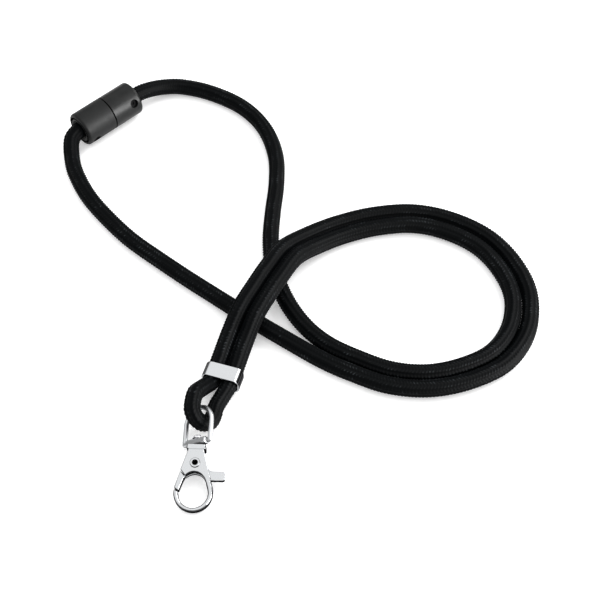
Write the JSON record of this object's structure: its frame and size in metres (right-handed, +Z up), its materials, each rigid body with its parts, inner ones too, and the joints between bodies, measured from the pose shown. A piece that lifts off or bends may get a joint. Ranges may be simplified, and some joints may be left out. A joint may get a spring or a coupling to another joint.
{
  "type": "neck lanyard",
  "caption": "Round braided cord lanyard with a two-part breakaway clasp, a crimp band and a swivel snap hook on a D ring.",
  "frame": {"origin": "on the resting surface, under the middle of the clasp, crimp band and snap hook taken together", "axes": "+Z up from the resting surface, +Y from the snap hook towards the clasp, +X towards the doubled loop of cord"},
  "size_m": [0.1487, 0.1604, 0.0114],
  "materials": {
    "cord_braid": "tight round herringbone braid, slightly silky",
    "clasp_plastic": "satin moulded plastic",
    "lock_pin": "dark moulded plastic",
    "chrome_cast": "bright nickel plate on a zinc casting",
    "rivet_steel": "bright turned steel",
    "spring_steel": "drawn spring wire"
  },
  "bodies": {
    "lanyard": {"cord": "cord_braid", "crimp_band": "chrome_cast", "socket_shell": "clasp_plastic", "socket_cord_pin": "lock_pin"},
    "plug": {"plug_shell": "clasp_plastic", "plug_cord_pin": "lock_pin"},
    "ring": {"d_ring": "chrome_cast"},
    "hook": {"hook_body": "chrome_cast", "swivel_pin": "rivet_steel", "pivot_rivet": "rivet_steel", "gate_spring": "spring_steel"},
    "lever": {"gate_lever": "chrome_cast"}
  },
  "joints": [
    {"name": "clasp_pull", "type": "slide", "parent": "lanyard", "child": "plug", "axis": [-0.7278, -0.6858, 0], "range_m": [0, 0.008], "deforming": ["cord"]},
    {"name": "ring_swing", "type": "hinge", "parent": "lanyard", "child": "ring", "pos_m": [0.0183, -0.0515, 0.0056], "axis": [-0.6795, 0.1444, 0.7193], "range_deg": [-15, 60]},
    {"name": "hook_swivel", "type": "hinge", "parent": "ring", "child": "hook", "pos_m": [0.01789, -0.05721, 0.00412], "axis": [0.0346, 0.9897, 0.1392], "continuous": true},
    {"name": "gate_open", "type": "hinge", "parent": "hook", "child": "lever", "pos_m": [0.01766, -0.06364, 0.00321], "axis": [-0.0049, -0.1391, 0.9903], "range_deg": [0, 25], "stiffness_Nm_per_rad": 0.002, "springref_deg": -20.05, "deforming": ["gate_spring"]}
  ]
}
